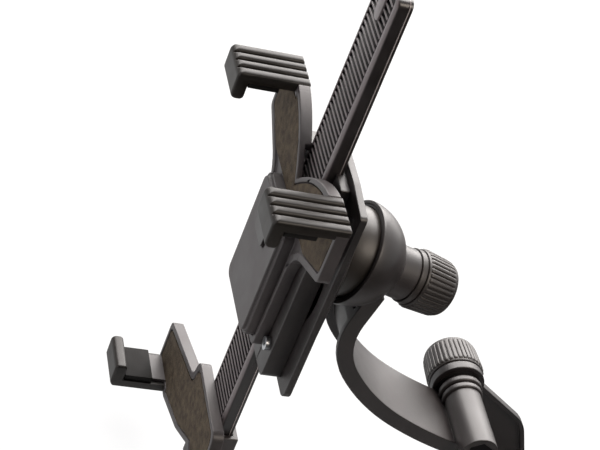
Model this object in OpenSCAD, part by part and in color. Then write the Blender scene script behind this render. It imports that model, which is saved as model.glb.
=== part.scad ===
// Tablet holder for a car seat: a spring-loaded jaw that slides on a ribbed rail, carried by a
// clamped ball joint, an S-shaped bracket and a pivoting arm with a screwed foot.
// Units are millimetres. The origin is the centre of the foot's underside, +Z is up,
// -Y is the side of the screen and X runs across the holder.

/* [Held device] */
// Height of the device between the two pairs of grips, with the jaw as shown
device_h = 169.5; // [150:0.5:200]
// Thickness of the device under the lips
device_t = 7.5; // [6:0.5:10]

/* [Grips] */
// Width of one grip
grip_w = 20; // [16:0.5:24]
// Distance of each upper grip from the middle
upper_grip_x = 44; // [40:1:52]
// Distance of each lower grip from the middle
lower_grip_x = 60; // [50:1:70]
// Thickness of the rubber lip in front of the device
lip_t = 5.4; // [3:0.2:6]
// Gap between the lip and the front of the device
lip_gap = 1.7; // [1:0.1:3]
// Depth by which the lip reaches over the device
lip_reach = 5.5; // [4:0.5:8]
// Thickness of the hard finger inside a grip
finger_t = 3; // [2.5:0.1:4]
// Thickness of the soft pad under the finger
pad_t = 1.2; // [1:0.1:2]
// Thickness of the rubber cap on top of the finger
cap_skin = 1.3; // [1:0.1:2]
// Thickness of the rubber cap beside the finger
cap_side = 1.9; // [1.2:0.1:2.5]
// Height of the ridges on a cap
ridge_h = 1.5; // [1:0.1:1.8]
// Number of ridges on a cap
ridge_n = 4; // [3:1:5]

/* [Yokes] */
// Depth of a yoke from its front rim to its back
yoke_t = 5; // [4:0.5:6]
// Width of the rim round the lined face
yoke_rim = 2.2; // [1.5:0.1:3]
// Depth of the lined recess
recess = 1; // [0.8:0.1:1.5]
// Thickness of the skin behind the lining
yoke_skin = 1.5; // [1.2:0.1:2]
// Depth of the V in the middle of the yoke's upper edge
v_depth = 11.5; // [8:0.5:14]
// Height of the yoke's outer ends below the grips
yoke_end_h = 18; // [14:1:24]
// Length of the upper yoke's stem below the grips
yoke_stem = 80; // [76:1:84]
// Width of the yoke's stem
stem_w = 44; // [42:1:50]

/* [Rail] */
// Width of the rail
rail_w = 24; // [20:1:28]
// Thickness of the rail from its rib tips to its back
rail_t = 6.5; // [5.5:0.5:8]
// Height of the rail's tail above the upper grips, with the jaw as shown
rail_up = 77; // [70:1:85]
// Pitch of the ribs
rib_pitch = 2.7; // [2.5:0.1:3.1]
// Height of the ribs
rib_h = 1.2; // [0.8:0.1:1.5]
// Running clearance of the rail in its housing
rail_play = 0.2; // [0.15:0.05:0.4]

/* [Housing and ball] */
// Width of the slider housing
housing_w = 60; // [56:1:66]
// Length of the slider housing
housing_l = 88; // [84:1:90]
// Width of the back plate
plate_w = 78; // [70:1:84]
// Height of the back plate
plate_h = 94; // [90:1:98]
// Thickness of the back plate
plate_t = 3; // [2.5:0.5:4]
// Radius of the ball
ball_r = 18.75; // [17:0.25:20]
// Wall of the ball
ball_wall = 3; // [2.5:0.25:4]
// Thickness of the friction liner in the cup
liner_t = 0.8; // [0.6:0.1:1.2]
// Wall of the cup
cup_wall = 1.6; // [1.4:0.1:2.5]
// Angle by which the clamp axis drops below the horizontal
clamp_tilt = 16; // [10:1:16]

/* [Bracket and arm] */
// Width of the S-shaped bracket
bracket_w = 31; // [28:1:36]
// Depth of the bracket's section, web and flanges together
bracket_d = 6.8; // [6:0.2:9]
// Thickness of the bracket's back web and flanges
bracket_wall = 3; // [2.4:0.1:3.6]
// Radius of the barrel at the elbow
barrel_r = 8; // [7:0.5:9]
// Distance of the elbow in front of the foot's centre
elbow_forward = 52; // [46:1:60]
// Height of the elbow above the foot's underside
elbow_up = 75; // [70:1:90]
// Depth of the arm's channel across the holder
arm_t = 4.5; // [4:0.5:6]
// Height of the arm's section
arm_h = 15.5; // [14:0.5:18]
// Wall of the arm's channel
arm_wall = 2; // [1.6:0.1:2.5]

/* [Fasteners and foot] */
// Diameter of the two clamping bolts
bolt_d = 6; // [5:0.5:7]
// Outer diameter of the ball knob at its near end
ball_knob_d = 24.9; // [22:0.1:28]
// Length of the ball knob
ball_knob_l = 16; // [14:0.5:20]
// Outer diameter of the elbow knob at its near end
elbow_knob_d = 25; // [22:0.5:28]
// Length of the elbow knob
elbow_knob_l = 16.2; // [14:0.2:20]
// Number of ribs on a knob
knob_ribs = 36; // [24:1:40]
// Width of the foot plate
foot_w = 46; // [42:1:60]
// Length of the foot plate
foot_l = 54; // [50:1:70]
// Thickness of the foot plate
foot_t = 5; // [4:0.5:8]
// Spacing of the foot's screw holes across
hole_dx = 30; // [26:1:30]
// Spacing of the foot's screw holes front to back
hole_dy = 38; // [34:1:40]
// Diameter of the foot's screw holes
hole_d = 5.2; // [4.2:0.1:5.5]

/* [Hidden] */
$fn = 64;
black = "#2b292d";
rubber = "#4a4a3f";
brown = "#4b3a33";
steel = "#b9bbbf";
nylon = "#d8d4c6";
// Gap between fixed pieces that fit into each other
fit = 0.1;
// Gap between pieces that move past each other
gap = 0.3;
// Overshoot of a cut past the face that it opens
cut = 1;

// Places in the head's frame: the front of the device is y = 0, its upper edge is z = 0
yoke_y = 17;
yoke_back = yoke_y + yoke_t;
rail_front = yoke_back + gap;
rail_back = rail_front + rail_t;
rail_root = rail_front + rib_h;
housing_back = rail_back + rail_play + 1;
plate_back = housing_back + plate_t;
plate_top = 4;
ball_centre = [0, 49.9, -43.4];
boss_end = ball_centre[1] - 6.6;
boss_r = 18.8;
ball_seat_bore = 12.6;
ball_opening_r = 9.3;
liner_in = ball_r + gap;
liner_out = liner_in + liner_t;
cup_in = liner_out + 0.08;
cup_r = cup_in + cup_wall;
cap_top = pad_t + finger_t + fit + cap_skin;
yoke_shoulder = 6.5;
shoulder_flat = 3;
lip_front = -lip_gap - lip_t;

// Elbow axis in the head's frame, and the head's origin in the part's frame
elbow = [0, 130, -120];
head_origin = [0, -elbow_forward - elbow[1], elbow_up - elbow[2]];

// Outer half width of the clamped stack at the elbow, from the bracket to the knob
disc_t = 0.8;
eye_in = bracket_w / 2 + gap;
eye_out = eye_in + arm_t - gap;
eye_r = 11.6;
elbow_knob_in = eye_out + fit;

// Stations along the clamp axis, measured from the ball's centre
collar_r = 10.75;
collar_end = 27;
washer_start = collar_end + fit;
washer_end = 29.8;
ball_knob_start = washer_end + fit;
ball_knob_nut_l = 6;
bolt_head_r = ball_r - ball_wall - 0.25 - 2 - 0.3;

module head() translate(head_origin) children();
module at_elbow() translate([0, -elbow_forward, elbow_up]) children();
module clamp_axis() head() translate(ball_centre) rotate([-90 - clamp_tilt, 0, 0]) children();
// Turns a profile drawn in y and z into a solid that runs along x, centred on x = 0
module along_x(w) translate([-w / 2, 0, 0]) rotate([90, 0, 90]) linear_extrude(w) children();
// Turns an outline drawn in x and z into a plate from y = a to y = b
module plate_y(a, b) translate([0, b, 0]) rotate([90, 0, 0]) linear_extrude(b - a) children();
module cyl_y(a, b, r) translate([0, b, 0]) rotate([90, 0, 0]) cylinder(h = b - a, r = r);
module cyl_x(a, b, r) translate([a, 0, 0]) rotate([0, 90, 0]) cylinder(h = b - a, r = r);
module both_sides() {
    children();
    mirror([1, 0, 0]) children();
}
module box_at(x, y, z) translate([x[0], y[0], z[0]]) cube([x[1] - x[0], y[1] - y[0], z[1] - z[0]]);

// Rounds the corners of an outline. Each corner is [x, y, radius].
function unit(v) = v / norm(v);
function corner_arc(a, b, c, r, n = 5) = r <= 0 ? [[b[0], b[1]]] :
    let (
        p = [b[0], b[1]],
        u = unit([a[0], a[1]] - p),
        v = unit([c[0], c[1]] - p),
        half = acos(max(-1, min(1, u * v))) / 2,
        centre = p + unit(u + v) * r / sin(half),
        s = p + u * r / tan(half) - centre,
        e = p + v * r / tan(half) - centre,
        a0 = atan2(s[1], s[0]),
        turn = atan2(s[0] * e[1] - s[1] * e[0], s * e)
    )
    [for (i = [0 : n]) centre + r * [cos(a0 + turn * i / n), sin(a0 + turn * i / n)]];
function rounded(pts, n = 5) = let (m = len(pts))
    [for (i = [0 : m - 1]) each corner_arc(pts[(i + m - 1) % m], pts[i], pts[(i + 1) % m], pts[i][2], n)];
module rounded_rect(w, h, r) polygon(rounded([
    [-w / 2, -h / 2, r], [w / 2, -h / 2, r], [w / 2, h / 2, r], [-w / 2, h / 2, r]
]));
function mirrored(half) = concat(half, [for (i = [len(half) - 1 : -1 : 0]) [-half[i][0], half[i][1], half[i][2]]]);

// Grips: a rubber cap over a hard finger, with a soft pad under it. Drawn at x = 0.
// The grooves along a cap's top have a narrow floor and flare into the rounded ridges
groove_w = 1.3;
groove_half = [[0, 0], [0, 0.3], [0.25, 0.65], [0.7, 0.9], [1.25, 1.01], [1.25, 2]];
module groove() plate_y(lip_front - cut, yoke_back + cut) polygon(concat(
    [for (p = groove_half) [groove_w / 2 + p[0], cap_top + ridge_h * p[1]]],
    [for (i = [len(groove_half) - 1 : -1 : 0])
        [-groove_w / 2 - groove_half[i][0], cap_top + ridge_h * groove_half[i][1]]]
));
module grip_cap() color(rubber) difference() {
    along_x(grip_w) polygon(rounded([
        [lip_front, -lip_reach, 2.2],
        [-lip_gap, -lip_reach, 1.6],
        [-lip_gap, pad_t - 0.8, 0],
        [yoke_y - fit, pad_t - 0.8, 0],
        [yoke_y - fit, pad_t + finger_t, 0],
        [yoke_back + 0.5, pad_t + finger_t, 0],
        [yoke_back + 0.5, cap_top + ridge_h, 1.2],
        [lip_front, cap_top + ridge_h, 3]
    ], 6));
    for (i = [1 : ridge_n - 1]) translate([(i - ridge_n / 2) * grip_w / ridge_n, 0, 0]) groove();
    // The outer ridges have the same flared flanks
    both_sides() translate([grip_w / 2 + groove_w / 2, 0, 0]) groove();
    // Socket for the finger, open at the back and below
    box_at([-grip_w / 2 + cap_side, grip_w / 2 - cap_side], [-lip_gap, yoke_back + cut],
        [-cut, pad_t + finger_t + fit]);
}
module grip_pad() color(rubber)
    plate_y(-lip_gap + fit + 0.2, device_t + 5)
        translate([0, (pad_t - fit) / 2]) rounded_rect(grip_w - 2 * cap_side - 1, pad_t - fit, 0.4);
module finger()
    box_at([-grip_w / 2 + cap_side + fit, grip_w / 2 - cap_side - fit],
        [-lip_gap + fit, yoke_y + yoke_t / 2], [pad_t, pad_t + finger_t]);

// Outline of a yoke in x and z, drawn in by i on every side
function yoke_half(gx, stem, i) = [
    [0.01, -v_depth - 1.2 * i, 0],
    [gx * 0.34, -1.2 - 1.1 * i, 26],
    i > 0 ? [gx - grip_w / 2 - fit - i - 0.6, yoke_shoulder - 1.3 * i, 0.3]
        : [gx - grip_w / 2 - shoulder_flat, yoke_shoulder, 2],
    [gx - grip_w / 2 - fit - (i > 0 ? i : 0), yoke_shoulder - i, 0],
    [gx - grip_w / 2 - fit - (i > 0 ? i : 0), pad_t + finger_t - i, 0],
    [gx + grip_w / 2 - i, pad_t + finger_t - i, 0],
    [gx + grip_w / 2 - i, -yoke_end_h + i, 3],
    [stem_w / 2 + 2 - i, -yoke_end_h - 12 + i, (stem - yoke_end_h) / 4],
    [stem_w / 2 - i, -stem + i, 4]
];
module yoke_outline(gx, stem, i = 0) polygon(rounded(mirrored(yoke_half(gx, stem, i))));

// Shell of a yoke: rim, recessed skin, grip fingers and a ribbed back
module yoke_shell(gx, stem) {
    difference() {
        plate_y(yoke_y, yoke_back) yoke_outline(gx, stem);
        plate_y(yoke_y - cut, yoke_y + recess) yoke_outline(gx, stem, yoke_rim);
        plate_y(yoke_y + recess + yoke_skin, yoke_back + cut) yoke_outline(gx, stem, yoke_rim);
    }
    both_sides() {
        translate([gx, 0, 0]) finger();
        // Ribs behind the skin, from the stem out to the grips
        for (k = [0 : 2])
            box_at([stem_w / 2 + 2 + k * 9, stem_w / 2 + 3.4 + k * 9],
                [yoke_y + recess + yoke_skin - 0.1, yoke_back], [-yoke_end_h - 2 + k * 1.5, 1 + k]);
    }
}
module lining(gx, stem, hub_top) color(brown) difference() {
    plate_y(yoke_y + 0.2, yoke_y + recess - 0.02) yoke_outline(gx, stem, yoke_rim + 0.5);
    box_at([-stem_w, stem_w], [yoke_y - cut, yoke_y + recess + cut], [-stem - cut, hub_top]);
    both_sides() translate([gx, 0, 0])
        box_at([-grip_w / 2, grip_w / 2], [yoke_y - cut, yoke_y + recess + cut], [pad_t - fit, 6]);
}

// Upper yoke: its stem swells forward into a hub that houses the release rocker
hub_top = -24;
hub_bottom = -yoke_stem + 2;
hub_front = 12;
hub_w = 40;
hub_wall = 1.8;
hub_mid = (hub_top + hub_bottom) / 2;
pin_z = hub_mid - 1;
pin_y = hub_front + 4.8;
pin_r = 1.25;
window = [14.8, 12.8];
window_z = hub_top - 13;
screw_x = 23;
screw_z = [-14, -74];
screw_r = 1.5;
head_r = 2.7;
head_t = 1.8;
module at_screws() for (x = [-screw_x, screw_x]) translate([x, 0, screw_z[0]]) children();
low_screw_x = stem_w / 2 + head_r + 0.6;
module at_low_screws() for (x = [-low_screw_x, low_screw_x]) translate([x, 0, screw_z[1]]) children();

module upper_yoke() color(black) head() difference() {
    union() {
        yoke_shell(upper_grip_x, yoke_stem);
        translate([0, 0, hub_mid]) plate_y(hub_front + 1.4, yoke_back)
            rounded_rect(hub_w, hub_top - hub_bottom, 5);
        translate([0, 0, hub_mid]) plate_y(hub_front, yoke_back)
            rounded_rect(hub_w - 2.8, hub_top - hub_bottom - 2.8, 4);
        at_screws() cyl_y(yoke_y + recess, yoke_back, 4.2);
    }
    // Room for the rocker
    translate([0, 0, hub_mid]) plate_y(hub_front + hub_wall, yoke_back + cut)
        rounded_rect(hub_w - 2 * hub_wall - 5, hub_top - hub_bottom - 2 * hub_wall, 3);
    // Window for the thumb pad
    translate([0, 0, window_z]) plate_y(hub_front - cut, hub_front + hub_wall + cut)
        rounded_rect(window[0], window[1], 2);
    // The wall is cut away above the rail
    box_at([-10, 10], [yoke_y + recess + yoke_skin, yoke_back + cut], [-v_depth - 6, 0]);
    translate([0, pin_y, pin_z]) cyl_x(-hub_w / 2 + 1, hub_w / 2 - 1, pin_r);
    at_screws() {
        cyl_y(yoke_y, yoke_y + recess + head_t + 0.1, head_r + fit);
        cyl_y(yoke_y, yoke_back + cut, screw_r + fit);
    }
}
module upper_lining() head() lining(upper_grip_x, yoke_stem, hub_top + 1);
module upper_left_grip() head() translate([-upper_grip_x, 0, 0]) grip_cap();
module upper_right_grip() head() translate([upper_grip_x, 0, 0]) grip_cap();
module upper_left_pad() head() translate([-upper_grip_x, 0, 0]) grip_pad();
module upper_right_pad() head() translate([upper_grip_x, 0, 0]) grip_pad();

// Release rocker: pressing its thumb pad lifts the pawl's teeth out of the rail's ribs.
// It is drawn pressed, with the teeth just clear, and swings in by 3.5 degrees when let go.
pawl_teeth = 3;
pawl_z = pin_z - 17;
pawl_tip = rail_front - 0.15;
pawl_root = rail_front - 1.3;
rocker_w = 27;
// Rise of the teeth as they swing in, with the play that they then have in the ribs
mesh_shift = 1.3;
module release_rocker() color(black) head() difference() {
    union() {
        translate([0, 0, window_z]) plate_y(hub_front - 1.2, pin_y)
            rounded_rect(window[0] - 2 * gap, window[1] - 4 * gap, 1.8);
        along_x(rocker_w) polygon([
            [pin_y - 1, window_z + 8.4], [pin_y + 1.6, window_z + 8.4],
            [pin_y + 1.6, pawl_z - 6], [pin_y - 2.3, pawl_z - 6], [pin_y - 2.3, pin_z]
        ]);
        translate([0, pin_y, pin_z]) cyl_x(-rocker_w / 2, rocker_w / 2, 2.8);
        along_x(18) polygon(concat(
            [[pin_y, pawl_z + 5.4], [pin_y, pawl_z - 6], [pawl_root - 0.6, pawl_z - 6]],
            [for (k = [0 : pawl_teeth - 1]) let (z = pawl_z - 4.2 + k * rib_pitch) each [
                [pawl_root, z], [pawl_tip, z + 0.355 * rib_pitch], [pawl_tip, z + 0.61 * rib_pitch],
                [pawl_root, z + 0.63 * rib_pitch]
            ]],
            [[pawl_root, pawl_z + 5.4]]
        ));
    }
    translate([0, pin_y, pin_z]) cyl_x(-rocker_w, rocker_w, pin_r + 0.05);
    // Slot for the spring round the pin, and grooves for its two legs
    box_at([-4, 4], [hub_front, pin_y + 4], [pin_z - 3.4, pin_z + 3.4]);
    for (x = [-spring_x, spring_x])
        box_at([x - 0.6, x + 0.6], [hub_front, pin_y - spring_r + spring_wire + 0.15],
            [pin_z - 7, pin_z + 7]);
}
module rocker_pin() color(steel) head()
    translate([0, pin_y, pin_z]) cyl_x(-hub_w / 2 + 1.2, hub_w / 2 - 1.2, pin_r - 0.02);

// Wire swept along a list of points, as one closed surface
function ring(p, d, r, n) = let (
        t = unit(d),
        a = unit(cross(t, abs(t[0]) < 0.8 ? [1, 0, 0] : [0, 1, 0])),
        b = cross(t, a)
    )
    [for (i = [0 : n - 1]) p + r * (cos(360 * i / n) * a + sin(360 * i / n) * b)];
module wire(path, r, n = 8) {
    m = len(path);
    rings = [for (i = [0 : m - 1]) each ring(path[i], path[min(i + 1, m - 1)] - path[max(i - 1, 0)], r, n)];
    sides = [for (i = [0 : m - 2]) for (j = [0 : n - 1])
        [i * n + j, i * n + (j + 1) % n, (i + 1) * n + (j + 1) % n, (i + 1) * n + j]];
    polyhedron(rings, concat(sides, [[for (j = [n - 1 : -1 : 0]) j]], [[for (j = [0 : n - 1]) (m - 1) * n + j]]));
}
spring_wire = 0.35;
spring_r = 2.1;
spring_x = 2.2;
module rocker_spring() color(steel) head() translate([0, pin_y, pin_z]) {
    turns = 3;
    coil = [for (i = [0 : 12 * turns]) let (a = 30 * i)
        [-spring_x + 2 * spring_x * i / (12 * turns), -spring_r * cos(a), spring_r * sin(a)]];
    wire(concat([[-spring_x, -spring_r, -6.4], [-spring_x, -spring_r, -1.4]], coil,
        [[spring_x, -spring_r, 1.4], [spring_x, hub_front + hub_wall + 0.9 - pin_y, 6.4]]), spring_wire);
}

// Slider housing: the rail runs in its channel, between the yoke and the back plate
module slider_housing() color(black) head() difference() {
    union() {
        translate([0, 0, -housing_l / 2]) plate_y(yoke_back, housing_back)
            rounded_rect(housing_w, housing_l, 3);
        // Low step that locates the yoke's outer wall
        translate([0, 0, -housing_l / 2 + 0.4]) plate_y(yoke_back + 3.2, housing_back)
            rounded_rect(housing_w - 14, housing_l + 0.8, 2);
    }
    box_at([-rail_w / 2 - rail_play, rail_w / 2 + rail_play],
        [yoke_back - cut, rail_back + rail_play], [-housing_l - 2, 2]);
    at_screws() cyl_y(yoke_back - cut, housing_back + cut, screw_r + fit);
    at_low_screws() cyl_y(yoke_back - cut, housing_back + cut, screw_r + fit);
    // Weight-saving pockets in the cheeks
    both_sides() for (k = [0 : 2])
        box_at([rail_w / 2 + 4.2, housing_w / 2 - 2.5], [yoke_back + 2, housing_back + cut],
            [-66 + k * 16, -53 + k * 16]);
}
// The back plate flares from its rectangle to the round seat of the ball
core_r = 33;
core_end_r = 16.5;
module flare(r, w, h, y0, y1) hull() {
    translate([0, 0, plate_top - plate_h / 2]) plate_y(y0, y0 + 0.4) square([w, h], center = true);
    translate([0, 0, ball_centre[2]]) cyl_y(y1 - 0.4, y1, r, $fn = 48);
}
module back_plate() color(black) head() difference() {
    union() {
        translate([0, 0, plate_top - plate_h / 2]) plate_y(housing_back, plate_back)
            polygon(rounded([
                [-plate_w / 2, -plate_h / 2, 4], [plate_w / 2, -plate_h / 2, 4],
                [plate_w / 2, plate_h / 2 - 2, 2], [plate_w / 4, plate_h / 2, 30],
                [-plate_w / 4, plate_h / 2, 30], [-plate_w / 2, plate_h / 2 - 2, 2]
            ]));
        flare(boss_r, plate_w - 5, plate_h - 7, plate_back - 0.2, boss_end);
    }
    // Core behind the ball's seat, the seat's opening and the screw holes
    translate([0, housing_back - 0.01, ball_centre[2]]) rotate([-90, 0, 0])
        cylinder(h = boss_end - 3 - housing_back, r1 = core_r, r2 = core_end_r);
    translate([0, 0, ball_centre[2]]) cyl_y(housing_back - cut, boss_end + cut, ball_seat_bore);
    at_ball_screws() cyl_y(boss_end - 4, boss_end + cut, 1.3);
    at_ball_screws() cyl_y(boss_end - 7, boss_end - 2.9, 2.3);
    at_screws() cyl_y(housing_back - cut, plate_back + 2.2, screw_r + 0.02);
    at_low_screws() cyl_y(housing_back - cut, plate_back + 2.2, screw_r + 0.02);
}
ball_screw_ring = 15.2;
module at_ball_screws() for (a = [90, 210, 330])
    translate([ball_screw_ring * cos(a), 0, ball_centre[2] + ball_screw_ring * sin(a)]) children();
module screw(y_head, y_tip, r, hr, ht) {
    cyl_y(y_head, y_head + ht, hr);
    cyl_y(y_head, y_tip, r);
}
module housing_screws() color(steel) head() {
    at_screws() difference() {
        screw(yoke_y + recess + 0.1, plate_back + 1.8, screw_r, head_r, head_t);
        cyl_y(yoke_y + recess - cut, yoke_y + recess + 1, 1.2, $fn = 6);
    }
    at_low_screws() difference() {
        screw(yoke_back - 2, plate_back + 1.8, screw_r, head_r, 1.9);
        cyl_y(yoke_back - 3, yoke_back - 1.1, 1.2, $fn = 6);
    }
}
function arc_rs(r, a0, a1, n = 16) = [for (i = [0 : n]) let (a = a0 + (a1 - a0) * i / n) r * [sin(a), cos(a)]];
ball_in = ball_r - ball_wall;
ball_floor = -6.6 + 3.5;
module ball() color(black) head() difference() {
    translate(ball_centre) rotate([-90, 0, 0]) rotate_extrude($fn = 96) polygon(concat(
        [[ball_seat_bore, -6.6]],
        arc_rs(ball_r, acos(-6.6 / ball_r), asin(ball_opening_r / ball_r)),
        arc_rs(ball_in, asin(ball_opening_r / ball_in), acos(ball_floor / ball_in)),
        [[ball_seat_bore, ball_floor]]
    ));
    at_ball_screws() cyl_y(boss_end - cut, boss_end + 3, 1.0);
}
module ball_screws() color(steel) head() at_ball_screws()
    screw(boss_end - 4.6, boss_end + 2.6, 0.98, 2.1, 1.5);

// Rail: a flat bar with ratchet ribs on its front, open at one edge and rimmed at the other
rail_bottom = -device_h - 3;
rail_ribs_top = rail_up - 2;
rib_z0 = pawl_z - 4.2 + mesh_shift - rib_pitch * floor((pawl_z - rail_bottom - 8) / rib_pitch);
rail_rib_n = floor((rail_ribs_top - rib_z0) / rib_pitch);
module rail() color(black) head() {
    difference() {
        union() {
            translate([0, 0, (rail_up + rail_bottom) / 2]) plate_y(rail_root, rail_back)
                rounded_rect(rail_w, rail_up - rail_bottom, 3);
            // Ribs: steep below, sloped above, so that the jaw closes freely
            translate([-0.5, 0, 0]) along_x(rail_w - 3) polygon(concat(
                [[rail_root + 0.5, rib_z0]],
                [for (k = [0 : rail_rib_n - 1]) let (z = rib_z0 + k * rib_pitch) each [
                    [rail_root, z + 0.355 * rib_pitch], [rail_front, z + 0.37 * rib_pitch],
                    [rail_front, z + 0.63 * rib_pitch], [rail_root, z + 0.98 * rib_pitch]
                ]],
                [[rail_root + 0.5, rib_z0 + rail_rib_n * rib_pitch + 0.1]]
            ));
            // Smooth rim with a rounded edge along one side, and a raised plain pad near the tail
            translate([0, 0, rail_bottom + 4]) linear_extrude(rail_up - rail_bottom - 8) polygon(rounded([
                [rail_w / 2 - 1.3, rail_front, 0], [rail_w / 2, rail_front, 0.8],
                [rail_w / 2, rail_root + 0.5, 0], [rail_w / 2 - 1.3, rail_root + 0.5, 0]
            ]));
            translate([-1, 0, rail_up - 9.5]) plate_y(rail_front - 0.6, rail_root + 0.5)
                rounded_rect(6, 13, 2.5);
        }
        // Grooves along the back edges
        both_sides() box_at([rail_w / 2 - 0.7, rail_w / 2 + cut], [rail_back - 2.2, rail_back - 1.5],
            [rail_bottom - cut, rail_up + cut]);
        at_lower_screws() cyl_y(rail_front - cut, rail_back + cut, screw_r + fit);
        // Long relief along the back
        translate([0, 0, -45]) plate_y(rail_back - 1.4, rail_back + cut) rounded_rect(9, 190, 4);
    }
}

// Lower yoke: mirror image of the upper one, wider, bolted round the rail's lower end
lower_stem = 40;
module lower_place() head() translate([0, 0, -device_h]) mirror([0, 0, 1]) children();
module at_lower_screws() for (z = [12, 28]) translate([0, 0, -device_h + z]) children();
socket_wall = 2.4;
socket_top = 32;
module lower_yoke() color(black) difference() {
    union() {
        lower_place() yoke_shell(lower_grip_x, lower_stem);
        head() box_at([-rail_w / 2 - socket_wall, rail_w / 2 + socket_wall],
            [yoke_back - 0.5, rail_back + socket_wall], [rail_bottom - 1.5, -device_h + socket_top]);
        head() at_lower_screws() cyl_y(yoke_y + recess + 0.2, yoke_back + 0.2, 4.2);
    }
    head() {
        box_at([-rail_w / 2 - fit, rail_w / 2 + fit], [rail_front - fit, rail_back + fit],
            [rail_bottom - fit, -device_h + socket_top + cut]);
        at_lower_screws() cyl_y(yoke_y + recess + yoke_skin, rail_back + socket_wall + cut, screw_r + 0.02);
        at_lower_screws() cyl_y(rail_back + socket_wall - 1.2, rail_back + socket_wall + cut, head_r + fit);
    }
}
module lower_lining() lower_place() lining(lower_grip_x, lower_stem, -lower_stem - 9);
module lower_left_grip() lower_place() translate([-lower_grip_x, 0, 0]) grip_cap();
module lower_right_grip() lower_place() translate([lower_grip_x, 0, 0]) grip_cap();
module lower_left_pad() lower_place() translate([-lower_grip_x, 0, 0]) grip_pad();
module lower_right_pad() lower_place() translate([lower_grip_x, 0, 0]) grip_pad();
module lower_yoke_screws() color(steel) head() at_lower_screws() {
    cyl_y(yoke_y + recess + yoke_skin + 0.3, rail_back + socket_wall - 0.6, screw_r);
    difference() {
        cyl_y(rail_back + socket_wall - 1.15, rail_back + socket_wall + 0.6, head_r);
        cyl_y(rail_back + socket_wall - 0.2, rail_back + socket_wall + cut, 1.2, $fn = 6);
    }
}

// Ball clamp: the screw pulls a dome against the inside of the ball, which the cup holds outside
module ball_liner() color(nylon) clamp_axis() difference() {
    sphere(r = liner_out, $fn = 96);
    sphere(r = liner_in, $fn = 96);
    translate([0, 0, -40 + 0.3]) cylinder(h = 40, r = 40);
    cylinder(h = 40, r = bolt_d / 2 + 2);
}
dome_out = ball_r - ball_wall - 0.25;
dome_in = dome_out - 2;
dome_deg = 44;
module pressure_dome() color(steel) head() translate(ball_centre) rotate([-90, 0, 0]) difference() {
    sphere(r = dome_out, $fn = 96);
    sphere(r = dome_in, $fn = 96);
    translate([0, 0, -40 + dome_out * cos(dome_deg)]) cylinder(h = 40, r = 40);
    // Slot along which the dome and the ball tilt on the screw
    hull() for (a = [-clamp_tilt - 1.5, clamp_tilt + 1.5])
        rotate([a, 0, 0]) cylinder(h = 20, r = bolt_d / 2 + gap, $fn = 32);
}
module clamp_screw() color(steel) clamp_axis() {
    intersection() {
        sphere(r = bolt_head_r, $fn = 96);
        translate([0, 0, 9]) cylinder(h = 10, r = 5.6);
    }
    cylinder(h = ball_knob_start + ball_knob_nut_l + 4, r = bolt_d / 2);
}

// Bracket: a stem drops from the cup, then three tangent arcs sweep back to the elbow barrel
stem_top = [64.3, -52.2];
stem_deg = -102.6;
stem_len = 15.2;
sweep_arcs = [[28, -50], [84, -27], [160, -14]];
arc_steps = 8;
function side(a) = [sin(a), -cos(a)];
function along(a) = [cos(a), sin(a)];
function sweep_line(p, a, arcs, d, k = 0) = k >= len(arcs) ? [] :
    let (
        r = arcs[k][0],
        c = p - r * side(a),
        b = arcs[k][1]
    )
    concat(
        [for (i = [1 : arc_steps]) let (t = a + (b - a) * i / arc_steps) c + (r + d) * side(t)],
        sweep_line(c + r * side(b), b, arcs, d, k + 1)
    );
function bracket_line(d) = concat(
    [stem_top + d * side(stem_deg), stem_top + stem_len * along(stem_deg) + d * side(stem_deg)],
    sweep_line(stem_top + stem_len * along(stem_deg), stem_deg, sweep_arcs, d)
);
function band(d0, d1) = concat(bracket_line(d0), [for (i = [len(bracket_line(d1)) - 1 : -1 : 0]) bracket_line(d1)[i]]);
module band_profile(d0, d1) polygon(band(d0, d1));
module bracket() color(black) difference() {
    union() {
        clamp_axis() difference() {
            sphere(r = cup_r, $fn = 96);
            translate([0, 0, -40]) cylinder(h = 40, r = 40);
        }
        clamp_axis() cylinder(h = collar_end, r = collar_r);
        head() along_x(bracket_w) band_profile(0, bracket_d);
        at_elbow() cyl_x(-bracket_w / 2, 24, barrel_r);
    }
    // Channel behind the flanges, with cross ribs left standing
    head() difference() {
        along_x(bracket_w - 2 * bracket_wall) band_profile(bracket_wall, bracket_d + 0.01);
        translate(ball_centre) sphere(r = cup_r - 0.1);
        translate(elbow) cyl_x(-30, 30, barrel_r - 0.1);
        translate([0, ball_centre[1] + 4, ball_centre[2] - 21]) cube([40, 24, 5], center = true);
    }
    clamp_axis() {
        sphere(r = cup_in, $fn = 96);
        translate([0, 0, -30]) cylinder(h = 30, r = 30);
        cylinder(h = 40, r = bolt_d / 2 + 0.2);
    }
    at_elbow() {
        cyl_x(-bracket_w, 40, bolt_d / 2 + 0.1);
        cyl_x(24 - 4.4, 40, 5.8, $fn = 6);
    }
}
// Knobs: ribbed grips of revolution that turn on the clamping bolts
module knob(d, l, nut_l) {
    r0 = d / 2 - 0.45;
    r1 = r0 - 0.65;
    difference() {
        union() {
            rotate_extrude($fn = 96) polygon(concat(
                [[0, 0], [r0 - 0.8, 0], [r0, 0.8]],
                [for (i = [0 : 6]) let (a = 90 * i / 6) [r1 - 2 + 2 * cos(a), l - 2 + 2 * sin(a)]],
                [[r1 - 4, l], [r1 - 4.6, l - 0.6], [0, l - 0.6]]
            ));
            for (i = [0 : knob_ribs - 1]) rotate([0, 0, 360 * i / knob_ribs])
                translate([r0 - 0.05, 0, 1]) rotate([0, -2.3, 0]) cylinder(h = l - 3.2, r = 0.6, $fn = 16);
        }
        translate([0, 0, -cut]) cylinder(h = nut_l + cut + fit, r = 5.1, $fn = 6);
        translate([0, 0, -cut]) cylinder(h = nut_l + 5 + cut, r = bolt_d / 2 + 0.1);
    }
}
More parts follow.
